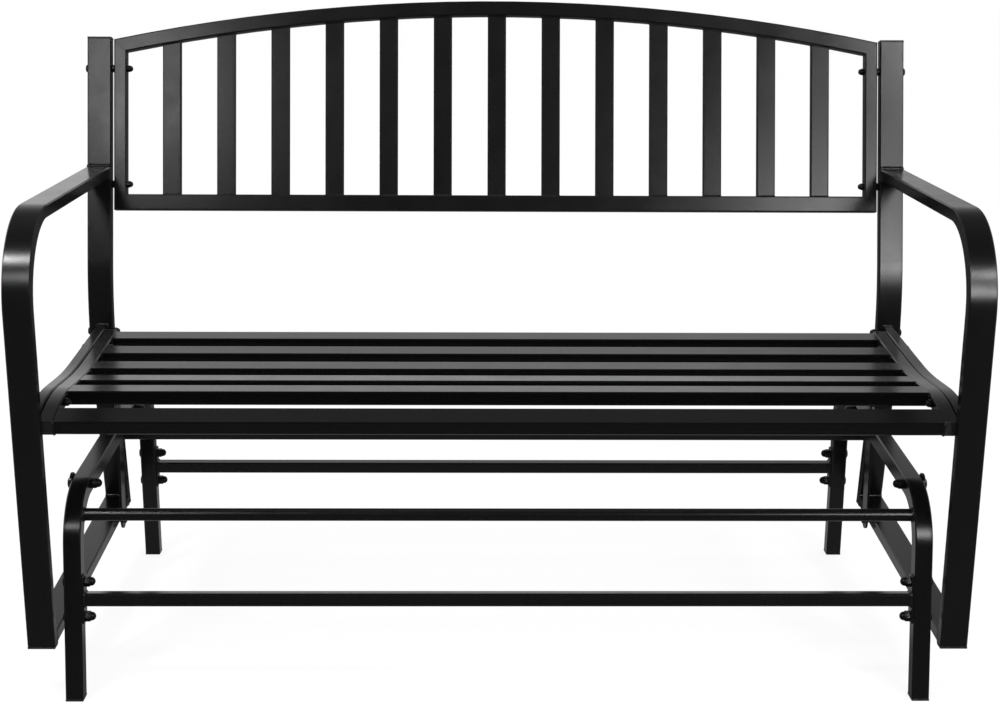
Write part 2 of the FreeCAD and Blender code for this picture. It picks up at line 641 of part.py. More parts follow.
nut = cap_nut("cap_nut", "nutAcross", "nutHex", "nutTall", "boltRadius + fit")
small_nut = cap_nut("small_cap_nut", "smallNutAcross", "smallNutHex", "smallNutTall", "smallBolt + fit")

bar_grip = "baseTube + plateThick"
bar_bolt = button_bolt("bar_bolt", "boltRadius", "headRadius", "headTall", bar_grip + " + nutTall - 5")
spots, nut_spots = [], []
for where, depth, height, lean in bar_spots():
    for y, z in plate_bolts(depth, height, lean):
        for side, sign in SIDES:
            outside, inside = value("baseSide + baseTube / 2"), value("baseSide - baseTube / 2 - plateThick")
            spots.append((bar_bolt, sign * outside, value(y), value(z), sign))
            nut_spots.append((nut, sign * inside, value(y), value(z), sign))
group("crossbar_bolts", spots)

pivot_bolt = button_bolt("pivot_bolt", "boltRadius", "headRadius", "headTall",
                         "headAcross - (baseSide - baseTube / 2) + nutTall - 5", pivot=True)
PIVOTS = (("front", "frontPivot"), ("rear", "rearPivot"))
spots = []
for where, depth in PIVOTS:
    for side, sign in SIDES:
        spots.append((pivot_bolt, sign * value("headAcross"), value(depth), value(rail(depth)), sign))
        nut_spots.append((nut, sign * value("baseSide - baseTube / 2"), value(depth), value(rail(depth)), sign))
group("upper_pivot_bolts", spots)
group("base_cap_nuts", nut_spots)

# Hanger links: flat straps with round ends, a bush through each hole that stands proud of both faces.

bush = new_body("bush")
prism(bush, "bush_sleeve", 12, "bushOuter", "-linkThick / 2 - bushProud", "linkThick / 2 + bushProud")
bored(bush, "bush_bore", "-linkThick / 2 - bushProud", "linkThick / 2 + bushProud", "boltRadius + fit", sides=0)
for where, depth in PIVOTS:
    for side, sign in SIDES:
        name = "hanger_link_%s_%s" % (where, side)
        link = new_body(name)
        outline = sketch_on(link, name + "_outline", "YZ_Plane")
        rounded(outline, "linkWide", "linkLong + linkWide", "linkWide / 2 - 0.01", "-linkLong / 2")
        for spot in ("0", "-linkLong"):
            many_sided(outline, 12, "bushOuter + 2 * fit", "0", spot)
        pad = link.newObject("PartDesign::Pad", name + "_strap")
        pad.Profile = outline
        pad.SideType = "Symmetric"
        pad.setExpression("Length", formula("linkThick"))
        stand(link, sign * value("linkAcross + linkThick / 2"), value(depth), value(rail(depth)))
        keep(link, name)
        spots = []
        for drop in (0, value("linkLong")):
            height = value(rail(depth)) - drop
            spots.append((bush, sign * value("linkAcross + linkThick / 2"), value(depth), height, sign))
        group("link_bushes_%s_%s" % (where, side), spots)

# Arms: leg, bend and armrest in one tube, sawn to the post's front face.

LEG_KNEE = ("legFoot + legLean * armCentre", "armCentre")
PAST = "(backDepth + 60)"
for side, sign in SIDES:
    arm = new_body("arm_tube_" + side)
    bent_tube(arm, "arm_" + side, [("legFoot", "0"), LEG_KNEE, (PAST, "armCentre")],
              ["armBend"], "armWide", "armThick")
    cut(arm, "arm_foot_" + side, "YZ_Plane",
        [("-reach", "-reach"), ("reach", "-reach"),
         ("reach", "legBottom + plugLip"), ("-reach", "legBottom + plugLip")])
    low, high = "(armTop - 60)", "(armTop + 60)"
    cut(arm, "arm_end_" + side, "YZ_Plane",
        [("backDepth + backLean * (%s - backMark)" % low, low), ("backDepth + 200", low),
         ("backDepth + 200", high), ("backDepth + backLean * (%s - backMark)" % high, high)])
    stand(arm, across=sign * value("armSide"))
    keep(arm, "arm_tube_" + side)

# Rear posts: from below the lower rail up to the top of the back, bent at the seat.

POST_TOP = ("backEye + postLong * sin(atan(backLean))", "backMark + postLong * cos(atan(backLean))")
POST_FOOT = ("shinRoot - shinLean * 60", "60")
BACK_SPOTS = [("highBolt", "upper"), ("lowBolt", "lower")]


def on_back(along):
    """Depth and height of a point on the back's centre plane."""
    return ("backEye + (%s) * sin(atan(backLean))" % along, "backMark + (%s) * cos(atan(backLean))" % along)


def seat_line(depth):
    """Height and slope of the seat's top line at a depth, bends included."""
    corners = [("kneeDepth", "kneeHeight"), ("crestDepth", "crestHeight"), ("dipDepth", "dipHeight"),
               ("rearTopDepth", "rearTopHeight")]
    points = [(value(a), value(b)) for a, b in corners]
    slopes = [(q[1] - p[1]) / (q[0] - p[0]) for p, q in zip(points, points[1:])]
    for i, radius in ((1, value("crestBend")), (2, value("dipBend"))):
        before, after = math.atan(slopes[i - 1]), math.atan(slopes[i])
        reach = radius * math.tan(abs(after - before) / 2)
        start = points[i][0] - reach * math.cos(before)
        end = points[i][0] + reach * math.cos(after)
        if start < depth < end:
            way = 1 if after < before else -1
            eye_depth = start + way * radius * math.sin(before)
            eye_height = points[i][1] - reach * math.sin(before) - way * radius * math.cos(before)
            drop = math.sqrt(radius ** 2 - (depth - eye_depth) ** 2)
            return eye_height + way * drop, -way * (depth - eye_depth) / drop
    index = max(0, min(2, sum(depth > p[0] for p in points[1:3])))
    return points[index][1] + slopes[index] * (depth - points[index][0]), slopes[index]


def rail_spot(cell):
    """Depth and height of a bolt on the seat rails' centreline."""
    depth = value(cell)
    return depth, seat_line(depth)[0] - value("railTall") / 2


POST_BOLT_HEIGHT = seat_line(value("postBolt"))[0] - value("postBoltDrop")
for side, sign in SIDES:
    post = new_body("rear_post_" + side)
    bent_tube(post, "post_" + side, [POST_FOOT, ("kinkDepth", "kinkHeight"), POST_TOP],
              ["postBend"], "armWide", "armThick")
    cut(post, "post_foot_" + side, "YZ_Plane",
        [("-reach", "-reach"), ("reach", "-reach"),
         ("reach", "postBottom + plugLip"), ("-reach", "postBottom + plugLip")])
    holes = [on_back(along) for along, where in BACK_SPOTS] + [("postBolt", POST_BOLT_HEIGHT)]
    drill(post, "post_holes_" + side, "YZ_Plane", holes, "smallBolt + holeFit")
    stand(post, across=sign * value("armSide"))
    keep(post, "rear_post_" + side)

# Lower rails: parallel to the base rail, through the lower pivots, from the leg to the post.


def low_rail(depth):
    return "lowHeight + railRise * ((%s) - frontPivot)" % depth


for side, sign in SIDES:
    lower = new_body("lower_rail_" + side)
    bent_tube(lower, "low_" + side, [("-60", low_rail("-60")), ("700", low_rail("700"))],
              [], "armWide", "armThick")
    leg_back = "legFoot + legSlant + legLean * (%s)"
    cut(lower, "low_front_" + side, "YZ_Plane",
        [(leg_back % "0", "0"), (leg_back % "200", "200"), ("-200", "200"), ("-200", "0")])
    shin_front = "shinDepth + shinLean * (shinMark - (%s))"
    cut(lower, "low_rear_" + side, "YZ_Plane",
        [(shin_front % "0", "0"), ("800", "0"), ("800", "250"), (shin_front % "250", "250")])
    tap = sketch_on(lower, "boss_spots_" + side, "YZ_Plane")
    for where, depth in PIVOTS:
        many_sided(tap, 12, "bushOuter + 2 * fit", depth, low_rail(depth))
    hole = lower.newObject("PartDesign::Pocket", "boss_holes_" + side)
    hole.Profile = tap
    hole.Reversed = sign < 0
    hole.setExpression("Length", formula("armWide / 2 + 1"))
    stand(lower, across=sign * value("armSide"))
    keep(lower, "lower_rail_" + side)

# Seat rails: an outer rail welded between leg and post, and a side rail that carries the slats.


def under(depth, height, shift="0"):
    return ("%s + (%s)" % (depth, shift), "%s - railTall / 2" % height)


KNEE_SLOPE = "((crestHeight - kneeHeight) / (crestDepth - kneeDepth))"
REAR_SLOPE = "((rearTopHeight - dipHeight) / (rearTopDepth - dipDepth))"
RAIL_RUN = [("kneeDepth - 40", "kneeHeight - 40 * %s - railTall / 2" % KNEE_SLOPE),
            under("crestDepth", "crestHeight"), under("dipDepth", "dipHeight"),
            ("rearTopDepth + 60", "rearTopHeight + 60 * %s - railTall / 2" % REAR_SLOPE)]
for side, sign in SIDES:
    outer = new_body("outer_seat_rail_" + side)
    bent_tube(outer, "outer_" + side, RAIL_RUN, ["crestBend", "dipBend"], "railWide", "railTall")
    cut(outer, "outer_front_" + side, "YZ_Plane",
        [(leg_back % "(kneeHeight - 100)", "kneeHeight - 100"),
         (leg_back % "(kneeHeight + 100)", "kneeHeight + 100"),
         ("-200", "kneeHeight + 100"), ("-200", "kneeHeight - 100")])
    end = "railEndDepth - weldGap - 0.15 + railEndLean * (%s)"
    cut(outer, "outer_rear_" + side, "YZ_Plane",
        [(end % "-60", "railEndHeight - 60"), ("rearTopDepth + 200", "railEndHeight - 60"),
         ("rearTopDepth + 200", "railEndHeight + 60"), (end % "60", "railEndHeight + 60")])
    bolts = [("frontBolt", rail_spot("frontBolt")[1]), ("rearBolt", rail_spot("rearBolt")[1])]
    drill(outer, "outer_holes_" + side, "YZ_Plane", bolts, "smallBolt + holeFit")
    stand(outer, across=sign * value("outerRail"))
    keep(outer, "outer_seat_rail_" + side)

    inner = new_body("seat_side_rail_" + side)
    bent_tube(inner, "inner_" + side, RAIL_RUN, ["crestBend", "dipBend"], "sideRailWide", "railTall")
    cut(inner, "inner_front_" + side, "YZ_Plane",
        [("kneeDepth - 150", "kneeHeight - 150"), ("railStart + plugLip", "kneeHeight - 150"),
         ("railStart + plugLip", "kneeHeight + 150"), ("kneeDepth - 150", "kneeHeight + 150")])
    cut(inner, "inner_rear_" + side, "YZ_Plane",
        [("railPast", "rearTopHeight - 150"), ("railPast + 150", "rearTopHeight - 150"),
         ("railPast + 150", "rearTopHeight + 150"), ("railPast", "rearTopHeight + 150")])
    drill(inner, "inner_holes_" + side, "YZ_Plane", bolts, "smallBolt + holeFit")
    stand(inner, across=sign * value("sideRail"))
    keep(inner, "seat_side_rail_" + side)

# Seat slats: six flat tubes between the side rails, level with their tops. The first is at the back.

slat_depths = [value("slatRear") - step * value("slatPitch") for step in range(5)] + [value("slatFront")]
for number, depth in enumerate(slat_depths, start=1):
    height, slope = seat_line(depth)
    slat = new_body("seat_slat_%d" % number)
    cross_tube(slat, "slat_%d" % number, "slatEnd", "slatWide", "slatThick")
    half = value("slatThick") / 2
    turn = math.atan(slope)
    slat.Placement = FreeCAD.Placement(
        V(0, depth + half * math.sin(turn) - value("midDepth"), height - half * math.cos(turn)),
        FreeCAD.Rotation(V(1, 0, 0), math.degrees(turn)))
    keep(slat, "seat_slat_%d" % number)

# Rear stretcher: welded between the posts below the seat.

stretcher = new_body("rear_stretcher")
cross_tube(stretcher, "stretcher", "armInner", "stretcherThick", "stretcherTall")
stand(stretcher, depth=value("shinRoot - shinLean * stretcherHeight"), height=value("stretcherHeight"),
      lean=-value("shinLean"))
keep(stretcher, "rear_stretcher")

# Seat bolts with spacers between the two rails, and the lower pivots with threaded bosses.

rail_grip = "outerRail + railWide / 2 - slatEnd"
seat_bolt = button_bolt("seat_bolt", "smallBolt", "smallHead", "smallHeadTall",
                        rail_grip + " + smallNutTall - 3.5")
post_bolt = button_bolt("post_bolt", "smallBolt", "smallHead", "smallHeadTall",
                        "armWide + smallNutTall - 3.5")
back_bolt = button_bolt("back_bolt", "smallBolt", "smallHead", "smallHeadTall",
                        "armOuter - backInner + smallNutTall - 3.5")
rail_spacer = ring_piece("rail_spacer", "smallBolt + holeFit", "smallHead", "railGap")
back_spacer = ring_piece("back_spacer", "smallBolt + holeFit", "smallHead", "backGap")
bolts, spacers, nuts, back_bolts = [], [], [], []
for side, sign in SIDES:
    for cell in ("frontBolt", "rearBolt"):
        depth, height = rail_spot(cell)
        bolts.append((seat_bolt, sign * value("outerRail + railWide / 2"), depth, height, sign))
        spacers.append((rail_spacer, sign * value("sideRail + sideRailWide / 2"), depth, height, sign))
        nuts.append((small_nut, sign * value("slatEnd"), depth, height, sign))
    bolts.append((post_bolt, sign * value("armOuter"), value("postBolt"), POST_BOLT_HEIGHT, sign))
    nuts.append((small_nut, sign * value("armInner"), value("postBolt"), POST_BOLT_HEIGHT, sign))
    for along, where in BACK_SPOTS:
        depth, height = [value(text) for text in on_back(along)]
        back_bolts.append((back_bolt, sign * value("armOuter"), depth, height, sign))
        spacers.append((back_spacer, sign * value("backOuter"), depth, height, sign))
        nuts.append((small_nut, sign * value("backInner"), depth, height, sign))
group("seat_bolts", bolts)
group("seat_spacers", spacers)
group("seat_cap_nuts", nuts)
group("back_bolts", back_bolts)

boss = ring_piece("pivot_boss", "boltRadius + fit", "bushOuter", "armInner + wall + 12 - headAcross")
low_bolt = button_bolt("lower_bolt", "boltRadius", "headRadius", "headTall",
                       "armInner + wall + 8 - (linkAcross - bushProud - sideGap)", pivot=True)
spots, boss_spots = [], []
for where, depth in PIVOTS:
    for side, sign in SIDES:
        height = value(low_rail(depth))
        spots.append((low_bolt, sign * value("linkAcross - bushProud - sideGap"), value(depth), height, -sign))
        boss_spots.append((boss, sign * value("headAcross"), value(depth), height, sign))
group("lower_pivot_bolts", spots)
group("lower_pivot_bosses", boss_spots)

# Back frame, drawn in its own plane: across the bench and up along the lean from the mark.


def lean_back(body, across=0.0):
    stand(body, across, value("backEye"), value("backMark"), value("backLean"))


# The mitre at each shoulder and each foot corner, as a line across the tube and beyond it.
def beyond(inner_up, outer_up, far):
    """Two points on the mitre line, past the inner and the outer corner."""
    slope = "((%s) - (%s)) / backSide" % (outer_up, inner_up)
    return [("backInner - %s" % far, "%s - %s * (%s)" % (inner_up, far, slope)),
            ("backOuter + %s" % far, "%s + %s * (%s)" % (outer_up, far, slope))]


SHOULDER = beyond("archCorner", "backShoulder", "30")
HEEL = beyond("footCorner", "-backFoot", "30")

top = new_body("back_top_rail")
section = sketch_on(top, "top_section", "YZ_Plane")
tube_section(section, "backTube", "backTop", "(backPeak - backTop / 2)")
axis = section.addGeometry(Part.LineSegment(V(-10, value("archEye"), 0), V(10, value("archEye"), 0)), True)
pin(section, axis, 1, "-10", "archEye")
pin(section, axis, 2, "10", "archEye")
arch = top.newObject("PartDesign::Revolution", "top_arch")
arch.Profile = section
arch.ReferenceAxis = (section, ["Axis0"])
arch.Midplane = True
arch.setExpression("Angle", formula("2 * asin((backOuter + 40) / archOuter)"))
for side, sign in SIDES:
    cut(top, "top_mitre_" + side, "XZ_Plane",
        [SHOULDER[0], (SHOULDER[0][0], "archEye - 100"), (SHOULDER[1][0] + " + 100", "archEye - 100"),
         (SHOULDER[1][0] + " + 100", SHOULDER[1][1]), SHOULDER[1]], sign)
lean_back(top)
keep(top, "back_top_rail")

bottom = new_body("back_bottom_rail")
lower_section = sketch_on(bottom, "bottom_section", "YZ_Plane")
tube_section(lower_section, "backTube", "backLow", "(backLow / 2 - backFoot)")
pad = bottom.newObject("PartDesign::Pad", "bottom_pad")
pad.Profile = lower_section
pad.SideType = "Symmetric"
pad.setExpression("Length", formula("2 * backOuter + 20"))
for side, sign in SIDES:
    cut(bottom, "bottom_mitre_" + side, "XZ_Plane",
        [HEEL[0], HEEL[1], (HEEL[1][0] + " + 60", HEEL[1][1]), (HEEL[1][0] + " + 60", HEEL[0][1])], sign)
lean_back(bottom)
keep(bottom, "back_bottom_rail")

for side, sign in SIDES:
    upright = new_body("back_side_tube_" + side)
    section = sketch_on(upright, "upright_section_" + side, "XY_Plane")
    section.AttachmentOffset = FreeCAD.Placement(V(0, 0, -200), FreeCAD.Rotation())
    tube_section(section, "backSide", "backTube")
    pad = upright.newObject("PartDesign::Pad", "upright_" + side)
    pad.Profile = section
    pad.Length = 600.0
    shift = " - backInner - backSide / 2"
    cut(upright, "upright_head_" + side, "XZ_Plane",
        [(SHOULDER[0][0] + shift, SHOULDER[0][1]), (SHOULDER[1][0] + shift, SHOULDER[1][1]),
         (SHOULDER[1][0] + shift, "backPeak + 300"), (SHOULDER[0][0] + shift, "backPeak + 300")], sign)
    cut(upright, "upright_foot_" + side, "XZ_Plane",
        [(HEEL[0][0] + shift, HEEL[0][1]), (HEEL[1][0] + shift, HEEL[1][1]),
         (HEEL[1][0] + shift, "-backFoot - 300"), (HEEL[0][0] + shift, "-backFoot - 300")], sign)
    drill(upright, "upright_holes_" + side, "YZ_Plane", [("0", along) for along, where in BACK_SPOTS],
          "smallBolt + holeFit")
    lean_back(upright, sign * value("backInner + backSide / 2"))
    keep(upright, "back_side_tube_" + side)

# Back slats: thirteen flat tubes, each sawn to the slope of the top rail above it.

SLATS = 13
for number in range(1, SLATS + 1):
    place = "(%d * backSlatPitch)" % (number - (SLATS + 1) // 2)
    slat = new_body("back_slat_%d" % number)
    section = sketch_on(slat, "back_section_%d" % number, "XY_Plane")
    section.AttachmentOffset = FreeCAD.Placement(V(0, 0, value("footCorner")), FreeCAD.Rotation())
    section.setExpression("AttachmentOffset.Base.z", formula("footCorner"))
    tube_section(section, "backSlatWide", "backSlatThick")
    pad = slat.newObject("PartDesign::Pad", "back_pad_%d" % number)
    pad.Profile = section
    pad.setExpression("Length", formula("backPeak + backFoot"))
    under_arch = "sqrt(archInner ^ 2 - %s ^ 2)" % place
    roof = "archEye + %s - weldGap - %s / %s * (%%s)" % (under_arch, place, under_arch)
    cut(slat, "back_cope_%d" % number, "XZ_Plane",
        [("-40", roof % "-40"), ("40", roof % "40"), ("40", "backPeak + 200"), ("-40", "backPeak + 200")])
    lean_back(slat, value(place))
    keep(slat, "back_slat_%d" % number)

# Plugs in the open ends of the seat frame: arm legs, post feet, post tops and side rail ends.

RAIL_ENDS = (("front", "railStart", "kneeHeight + %s * (railStart - kneeDepth)" % KNEE_SLOPE, KNEE_SLOPE, 1),
             ("rear", "railPast + plugLip",
              "rearTopHeight - %s * (rearTopDepth - railPast - plugLip)" % REAR_SLOPE, REAR_SLOPE, -1))
ends = []
for side, sign in SIDES:
    leg = plug("leg_plug_" + side, "armWide", "armThick", "legLean", "legLean")
    stand(leg, sign * value("armSide"), value("legFoot + legLean * legBottom"), value("legBottom"))
    ends.append(leg)
    shin = plug("shin_plug_" + side, "armWide", "armThick", "-shinLean", "-shinLean")
    stand(shin, sign * value("armSide"), value("shinRoot - shinLean * postBottom"), value("postBottom"))
    ends.append(shin)
    head = plug("head_plug_" + side, "armWide", "armThick", "0", "0", up=-1)
    depth, height = [value(text) for text in on_back("postLong + plugLip")]
    stand(head, sign * value("armSide"), depth, height, value("backLean"))
    ends.append(head)
    for where, depth, height, slope, way in RAIL_ENDS:
        name = "rail_plug_%s_%s" % (where, side)
        cap = plug(name, "sideRailWide", "railTall", "-" + slope, "-" + slope, up=way)
        across, level = sign * value("sideRail"), value(height + " - railTall / 2")
        cap.Placement = FreeCAD.Placement(
            V(across, value(depth) - value("midDepth"), level), FreeCAD.Rotation(V(1, 0, 0), -90))
        ends.append(cap)
end_group = doc.addObject("Part::Compound", "frame_end_plugs")
end_group.Links = ends
keep(end_group, "frame_end_plugs")

# Checks, then one file for each piece.

doc.recompute()
faults = [item.Name for item in doc.Objects if {"Invalid", "Error"} & set(item.State)]
if faults:
    raise RuntimeError("failed: " + ", ".join(faults))
for item in doc.Objects:
    if item.isDerivedFrom("Sketcher::SketchObject") and item.solve() != 0:
        raise RuntimeError("unsolved: " + item.Name)
for name, item in nodes:
    if item.Shape.isNull() or not item.Shape.isValid() or not item.Shape.Solids:
        raise RuntimeError("bad shape: " + name)
os.makedirs("parts", exist_ok=True)
for name, item in nodes:
    item.Shape.exportStep(os.path.join("parts", name + ".step"))
print(len(nodes), "pieces,", sum(len(item.Shape.Solids) for name, item in nodes), "solids")
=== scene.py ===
import math

import bmesh
import bpy
from mathutils import Matrix, Vector


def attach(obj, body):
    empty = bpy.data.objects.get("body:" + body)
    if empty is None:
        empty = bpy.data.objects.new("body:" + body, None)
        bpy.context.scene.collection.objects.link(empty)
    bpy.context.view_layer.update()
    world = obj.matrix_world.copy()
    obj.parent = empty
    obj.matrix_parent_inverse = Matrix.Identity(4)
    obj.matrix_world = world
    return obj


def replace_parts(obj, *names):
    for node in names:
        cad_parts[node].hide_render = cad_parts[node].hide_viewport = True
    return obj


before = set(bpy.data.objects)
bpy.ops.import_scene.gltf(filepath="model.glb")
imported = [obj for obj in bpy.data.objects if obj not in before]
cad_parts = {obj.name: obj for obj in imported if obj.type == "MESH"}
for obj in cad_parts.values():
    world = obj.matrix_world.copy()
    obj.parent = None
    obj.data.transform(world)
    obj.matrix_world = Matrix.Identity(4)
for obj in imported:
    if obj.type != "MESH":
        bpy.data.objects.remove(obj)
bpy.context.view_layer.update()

# Two-seat glider bench of welded steel tube, powder coated satin black.
# The scene is in metres, +Z up. The bench faces -Y, and left and right are those seen from the front.
# Sizes of its pieces and of the patterns in its finishes are in millimetres, and MM turns them to metres.

MM = 0.001
SIDES = ("left", "right")
LEFT, RIGHT, FORWARD, BACKWARD = (-1, 0, 0), (1, 0, 0), (0, -1, 0), (0, 1, 0)


# Camera: a 65 mm lens, a little left of the middle, looking slightly down

CAMERA_PLACE = Vector((-36.35, -2586.8, 996.1)) * MM
YAW, PITCH, ROLL = 0.0154, 0.2204, -0.0054  # to the right, down and clockwise, in radians
PICTURE_WIDE = 1000  # pixels
FOCAL = 1800.0  # pixels
FILM_WIDE = 36.0  # mm


def make_camera():
    ahead = Vector((math.sin(YAW) * math.cos(PITCH), math.cos(YAW) * math.cos(PITCH), -math.sin(PITCH)))
    right = Vector((math.cos(YAW), -math.sin(YAW), 0))
    down = ahead.cross(right)
    across = right * math.cos(ROLL) + down * math.sin(ROLL)
    below = down * math.cos(ROLL) - right * math.sin(ROLL)
    turn = Matrix((across, -below, -ahead)).transposed().to_4x4()
    lens = bpy.data.cameras.new("photo_camera")
    lens.sensor_width = FILM_WIDE
    lens.lens = FOCAL / PICTURE_WIDE * FILM_WIDE
    camera = bpy.data.objects.new("photo_camera", lens)
    camera.matrix_world = Matrix.Translation(CAMERA_PLACE) @ turn
    bpy.context.scene.collection.objects.link(camera)
    bpy.context.scene.camera = camera


make_camera()


# Finishes

PEEL = 2.2  # orange peel, about 1 mm across on the real film, drawn coarser so that it shows
WELD_PEEL = 1.6  # the same over a bead, where the film is thinner
FLOW = 60  # slow changes of film thickness
SPECKS = 3  # between specks where powder clumped or dust settled
ZINC_GRAIN = 1.5  # under 0.1 mm on real plating, drawn coarser so that it shows
TOOL_GRAIN = 1.0  # grain of the moulding tool, about 0.3 mm, drawn coarser so that it shows
SCUFFS = 8  # patches where a moulding is rubbed


def linear(colour):
    """A colour written #rrggbb in sRGB, as the linear values that a shader takes."""
    parts = [int(colour[i:i + 2], 16) / 255 for i in (1, 3, 5)]
    return tuple(c / 12.92 if c <= 0.04045 else ((c + 0.055) / 1.055) ** 2.4 for c in parts) + (1.0,)


def per_metre(size):
    """How often a pattern of a size in millimetres repeats in a metre, which is a texture's scale."""
    return 1 / (size * MM)


def add(tree, kind, settings=(), links=()):
    """Adds a node. A setting is one of the node's own fields, or the value of a socket by name or number."""
    node = tree.nodes.new(kind)
    for key, value in dict(settings).items():
        if isinstance(key, str) and hasattr(node, key):
            setattr(node, key, value)
        else:
            node.inputs[key].default_value = value
    for key, source in dict(links).items():
        tree.links.new(source, node.inputs[key])
    return node


def finish_named(name):
    """An empty material of that name, its node tree and the place of a point on the piece, in metres."""
    finish = bpy.data.materials.new(name)
    finish.use_nodes = True
    tree = finish.node_tree
    tree.nodes.clear()
    where = add(tree, "ShaderNodeTexCoord").outputs["Object"]
    return finish, tree, where


def powder_coat(name, colour, light, rough, peel=PEEL):
    """Black polyester powder coat, sprayed and baked on steel tube. The powder melts into a satin film with a
    fine orange peel, which breaks up the edge of each reflection. It is a little glossier where it flowed
    thick, and has a few pale specks."""
    finish, tree, where = finish_named(name)
    peel_noise = add(tree, "ShaderNodeTexNoise", {"Scale": per_metre(peel), "Detail": 2.0, "Roughness": 0.5},
                     {"Vector": where})
    flow = add(tree, "ShaderNodeTexNoise", {"Scale": per_metre(FLOW), "Detail": 3.0, "Roughness": 0.6},
               {"Vector": where})
    speck = add(tree, "ShaderNodeTexVoronoi", {"feature": "F1", "Scale": per_metre(SPECKS), "Randomness": 1.0},
                {"Vector": where})
    specked = add(tree, "ShaderNodeMapRange",
                  {"From Min": 0.06, "From Max": 0.16, "To Min": 0.25, "To Max": 0.0},
                  {"Value": speck.outputs["Distance"]})
    shade = add(tree, "ShaderNodeMix", {"data_type": "RGBA", "A": linear(colour), "B": linear(light)},
                {"Factor": specked.outputs["Result"]})
    gloss = add(tree, "ShaderNodeMapRange",
                {"From Min": 0.3, "From Max": 0.7, "To Min": rough - 0.02, "To Max": rough + 0.03},
                {"Value": flow.outputs["Fac"]})
    skin = add(tree, "ShaderNodeBump", {"Strength": 0.4, "Distance": 0.12 * MM},
               {"Height": peel_noise.outputs["Fac"]})
    # polyester has an IOR of 1.48, and what it mirrors head on is held down to the photographed coat's depth
    coat = add(tree, "ShaderNodeBsdfPrincipled", {"IOR": 1.48, "Specular IOR Level": 0.3},
               {"Base Color": shade.outputs["Result"], "Roughness": gloss.outputs["Result"],
                "Normal": skin.outputs["Normal"]})
    add(tree, "ShaderNodeOutputMaterial", {}, {"Surface": coat.outputs["BSDF"]})
    return finish


def black_zinc(name, colour, light, rough):
    """Black zinc plating on machined steel bolts and nuts: a thin dark skin over metal, with a semi-gloss
    sheen that varies a little with the grain of the plating."""
    finish, tree, where = finish_named(name)
    grain = add(tree, "ShaderNodeTexNoise", {"Scale": per_metre(ZINC_GRAIN), "Detail": 3.0, "Roughness": 0.6},
                {"Vector": where})
    shade = add(tree, "ShaderNodeMix", {"data_type": "RGBA", "A": linear(colour), "B": linear(light)},
                {"Factor": grain.outputs["Fac"]})
    gloss = add(tree, "ShaderNodeMapRange",
                {"From Min": 0.3, "From Max": 0.7, "To Min": rough - 0.06, "To Max": rough + 0.08},
                {"Value": grain.outputs["Fac"]})
    skin = add(tree, "ShaderNodeBump", {"Strength": 0.2, "Distance": 0.05 * MM},
               {"Height": grain.outputs["Fac"]})
    # plating keeps the metal's default IOR
    metal = add(tree, "ShaderNodeBsdfPrincipled", {"Metallic": 0.85},
                {"Base Color": shade.outputs["Result"], "Roughness": gloss.outputs["Result"],
                 "Normal": skin.outputs["Normal"]})
    add(tree, "ShaderNodeOutputMaterial", {}, {"Surface": metal.outputs["BSDF"]})
    return finish


def moulded_plastic(name, colour, light, rough):
    """Black plastic, injection moulded in a spark-eroded tool, so that it has a fine matt grain, and is duller
    and paler where it is scuffed."""
    finish, tree, where = finish_named(name)
    grain = add(tree, "ShaderNodeTexVoronoi",
                {"feature": "SMOOTH_F1", "Scale": per_metre(TOOL_GRAIN), "Smoothness": 0.6}, {"Vector": where})
    scuff = add(tree, "ShaderNodeTexNoise", {"Scale": per_metre(SCUFFS), "Detail": 4.0, "Roughness": 0.7},
                {"Vector": where})
    shade = add(tree, "ShaderNodeMix", {"data_type": "RGBA", "A": linear(colour), "B": linear(light)},
                {"Factor": scuff.outputs["Fac"]})
    gloss = add(tree, "ShaderNodeMapRange",
                {"From Min": 0.3, "From Max": 0.7, "To Min": rough - 0.06, "To Max": rough + 0.08},
                {"Value": scuff.outputs["Fac"]})
    skin = add(tree, "ShaderNodeBump", {"Strength": 0.3, "Distance": 0.08 * MM},
               {"Height": grain.outputs["Distance"]})
    body = add(tree, "ShaderNodeBsdfPrincipled", {"IOR": 1.51, "Specular IOR Level": 0.35},
               {"Base Color": shade.outputs["Result"], "Roughness": gloss.outputs["Result"],
                "Normal": skin.outputs["Normal"]})
    add(tree, "ShaderNodeOutputMaterial", {}, {"Surface": body.outputs["BSDF"]})
    return finish


FRAME_COAT = powder_coat("powder_coat_on_tube", "#080809", "#2a2a2b", rough=0.21)
SLAT_COAT = powder_coat("powder_coat_on_slats", "#080809", "#2a2a2b", rough=0.23)
STRAP_COAT = powder_coat("powder_coat_on_strap_steel", "#080809", "#2c2c2d", rough=0.23)
WELD_COAT = powder_coat("powder_coat_over_weld", "#0c0c0d", "#2c2c2d", rough=0.19, peel=WELD_PEEL)
BOLT_ZINC = black_zinc("black_zinc_on_bolts", "#161618", "#242426", rough=0.34)
NUT_ZINC = black_zinc("black_zinc_on_cap_nuts", "#131315", "#222224", rough=0.30)
PLUG_PLASTIC = moulded_plastic("moulded_polyethylene_plugs", "#0b0b0b", "#141414", rough=0.50)
BUSH_PLASTIC = moulded_plastic("moulded_nylon_bushes", "#0f0f0f", "#181818", rough=0.45)


# The CAD pieces: each keeps its shape and gets its finish, and later its rounded corners

def finish_of(name):
    if "plug" in name:
        return PLUG_PLASTIC
    if "bush" in name:
        return BUSH_PLASTIC
    if "slat" in name:
        return SLAT_COAT
    if "hanger" in name or "plate" in name:
        return STRAP_COAT
    return FRAME_COAT


for name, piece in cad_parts.items():
    piece.data.materials.clear()
    piece.data.materials.append(finish_of(name))


# Bolts, nuts, spacers and bushes, turned smooth in place of the CAD pieces. Their sizes are in millimetres.

